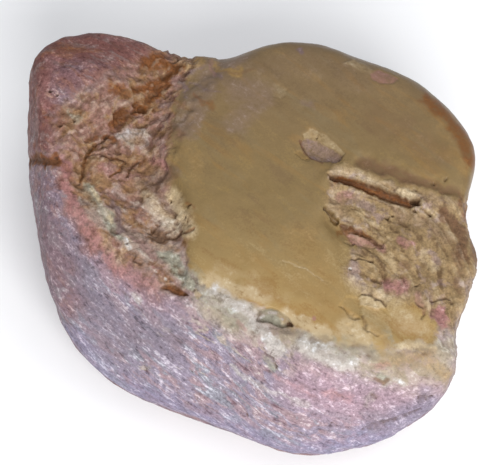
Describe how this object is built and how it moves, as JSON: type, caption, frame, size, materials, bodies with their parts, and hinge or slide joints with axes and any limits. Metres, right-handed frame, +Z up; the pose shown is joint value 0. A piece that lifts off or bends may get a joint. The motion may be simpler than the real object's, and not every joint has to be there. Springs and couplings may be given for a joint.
{
  "type": "rough quartzite stone",
  "caption": "Rough quartzite cobble with a rounded pink rind, a smooth tan face on top, a broken trough along one side and rough terraces, resting on a small flat spot.",
  "frame": {"origin": "under the middle of the stone's box, on the surface it rests on", "axes": "+X along the stone's longest side, +Y away from the front, +Z up from the surface it rests on"},
  "size_m": [0.1658, 0.1506, 0.0773],
  "materials": {
    "quartzite": "weathered stone: waxy tan face, rough pink rind"
  },
  "bodies": {
    "root": {"stone": "quartzite"}
  },
  "joints": []
}
